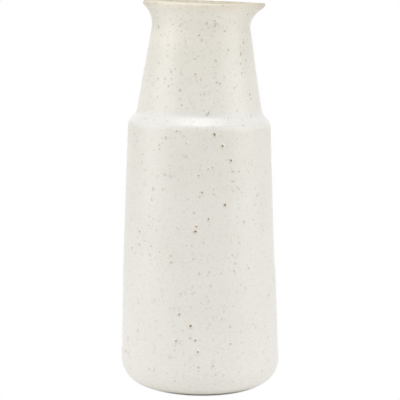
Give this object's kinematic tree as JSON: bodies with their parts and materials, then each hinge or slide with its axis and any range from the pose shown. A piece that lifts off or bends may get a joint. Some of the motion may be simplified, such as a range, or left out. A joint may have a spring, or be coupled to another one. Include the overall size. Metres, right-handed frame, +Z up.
{
  "type": "stoneware jug",
  "caption": "Tall round stoneware jug without a handle: tapering body, stepped shoulder, narrow neck and a flared lip drawn out to a small spout, in speckled off-white matt glaze.",
  "frame": {"origin": "centre of the standing ring, on the surface that the jug stands on", "axes": "+Z up along the axis of the jug, +X towards the spout"},
  "size_m": [0.09, 0.09, 0.2179],
  "materials": {
    "bare_stoneware": "unglazed fired clay, dry and slightly sandy",
    "speckled_glaze": "off-white matt glaze with brown iron specks",
    "thin_rim_glaze": "the same glaze worn thin over the lip, so that the warm clay shows through",
    "liner_glaze": "smooth off-white liner glaze"
  },
  "bodies": {
    "root": {"stoneware_body": "bare_stoneware", "outer_glaze": "speckled_glaze", "rim_glaze": "thin_rim_glaze", "liner_glaze": "liner_glaze"}
  },
  "joints": []
}
